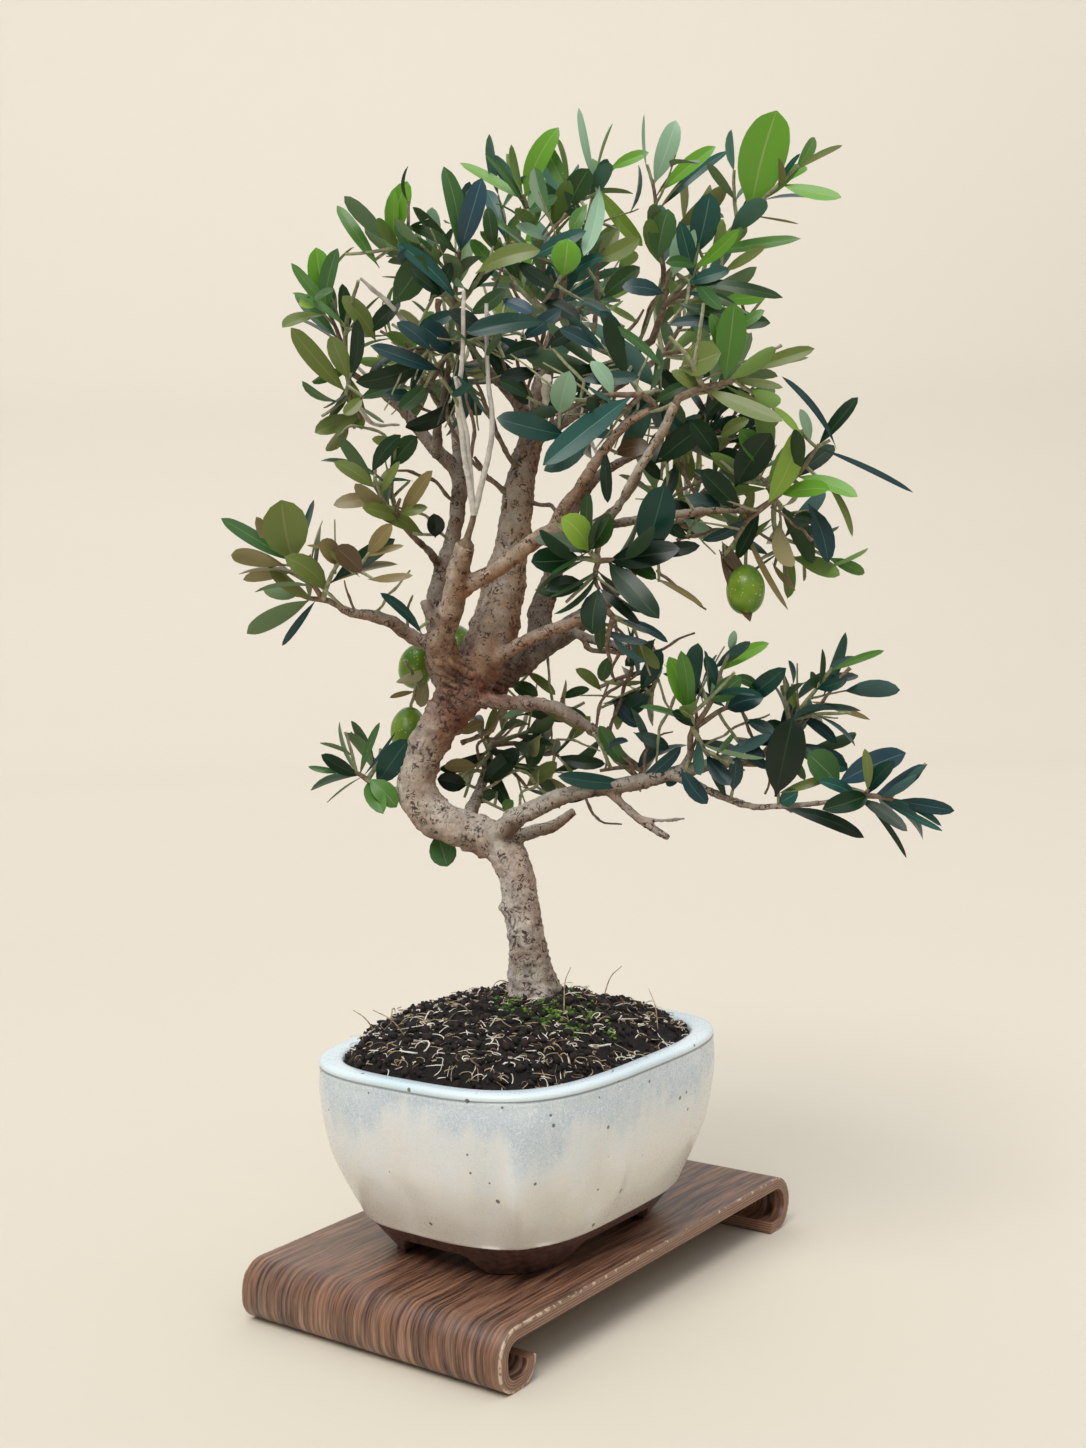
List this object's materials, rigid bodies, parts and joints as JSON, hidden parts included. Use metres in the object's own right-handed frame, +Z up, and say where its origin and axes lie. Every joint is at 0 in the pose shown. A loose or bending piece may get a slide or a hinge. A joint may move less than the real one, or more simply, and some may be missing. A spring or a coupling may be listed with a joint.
{
  "type": "potted olive bonsai",
  "caption": "Small olive tree with a bent trunk and an open crown, in a glazed footed pot filled with soil, on a low bentwood stand with rolled ends.",
  "frame": {"origin": "middle of the bottom of the whole object's bounding box, on the surface that the stand rests on", "axes": "+Z up; +Y along the stand's board, from its tightly rolled end to its open rolled end; +X across the board"},
  "size_m": [0.2538, 0.2316, 0.451],
  "materials": {
    "stand": "satin stained laminated wood",
    "pot": "glossy pale blue-grey glaze over dark stoneware feet",
    "soil": "dark open potting mix with fine rootlets and moss",
    "bark": "rough grey-brown bark",
    "foliage": "leathery olive-green leaves"
  },
  "bodies": {
    "root": {"bough_back_left": "bark", "bough_back_right": "bark", "bough_back_top": "bark", "bough_cross": "bark", "bough_front": "bark", "bough_inner": "bark", "bough_inner_left": "bark", "bough_left": "bark", "bough_left_back": "bark", "bough_left_low": "bark", "bough_left_mid": "bark", "bough_left_stub": "bark", "bough_low_back": "bark", "bough_low_cross": "bark", "bough_low_right": "bark", "bough_low_stub": "bark", "bough_low_tip": "bark", "bough_right_back": "bark", "bough_right_front": "bark", "bough_right_inner": "bark", "bough_right_up": "bark", "bough_top_left": "bark", "bough_top_right": "bark", "foliage_back_left": "foliage", "foliage_back_low": "foliage", "foliage_back_right": "foliage", "foliage_back_top": "foliage", "foliage_centre": "foliage", "foliage_front": "foliage", "foliage_front_left": "foliage", "foliage_front_right": "foliage", "foliage_inner_left": "foliage", "foliage_inner_right": "foliage", "foliage_left_high": "foliage", "foliage_left_mid": "foliage", "foliage_left_spray": "foliage", "foliage_low_back": "foliage", "foliage_low_centre": "foliage", "foliage_low_left": "foliage", "foliage_low_right": "foliage", "foliage_low_right_back": "foliage", "foliage_low_right_in": "foliage", "foliage_low_right_tip": "foliage", "foliage_right": "foliage", "foliage_right_inner": "foliage", "foliage_top": "foliage", "foliage_top_left": "foliage", "foliage_top_right": "foliage", "fruit_fork": "foliage", "pot": "pot", "soil": "soil", "spur_centre": "bark", "spur_fork": "bark", "spur_low_left": "bark", "spur_low_right": "bark", "stand": "stand", "trunk": "bark", "twig_bare": "bark", "twig_bare_fork": "bark"}
  },
  "joints": []
}
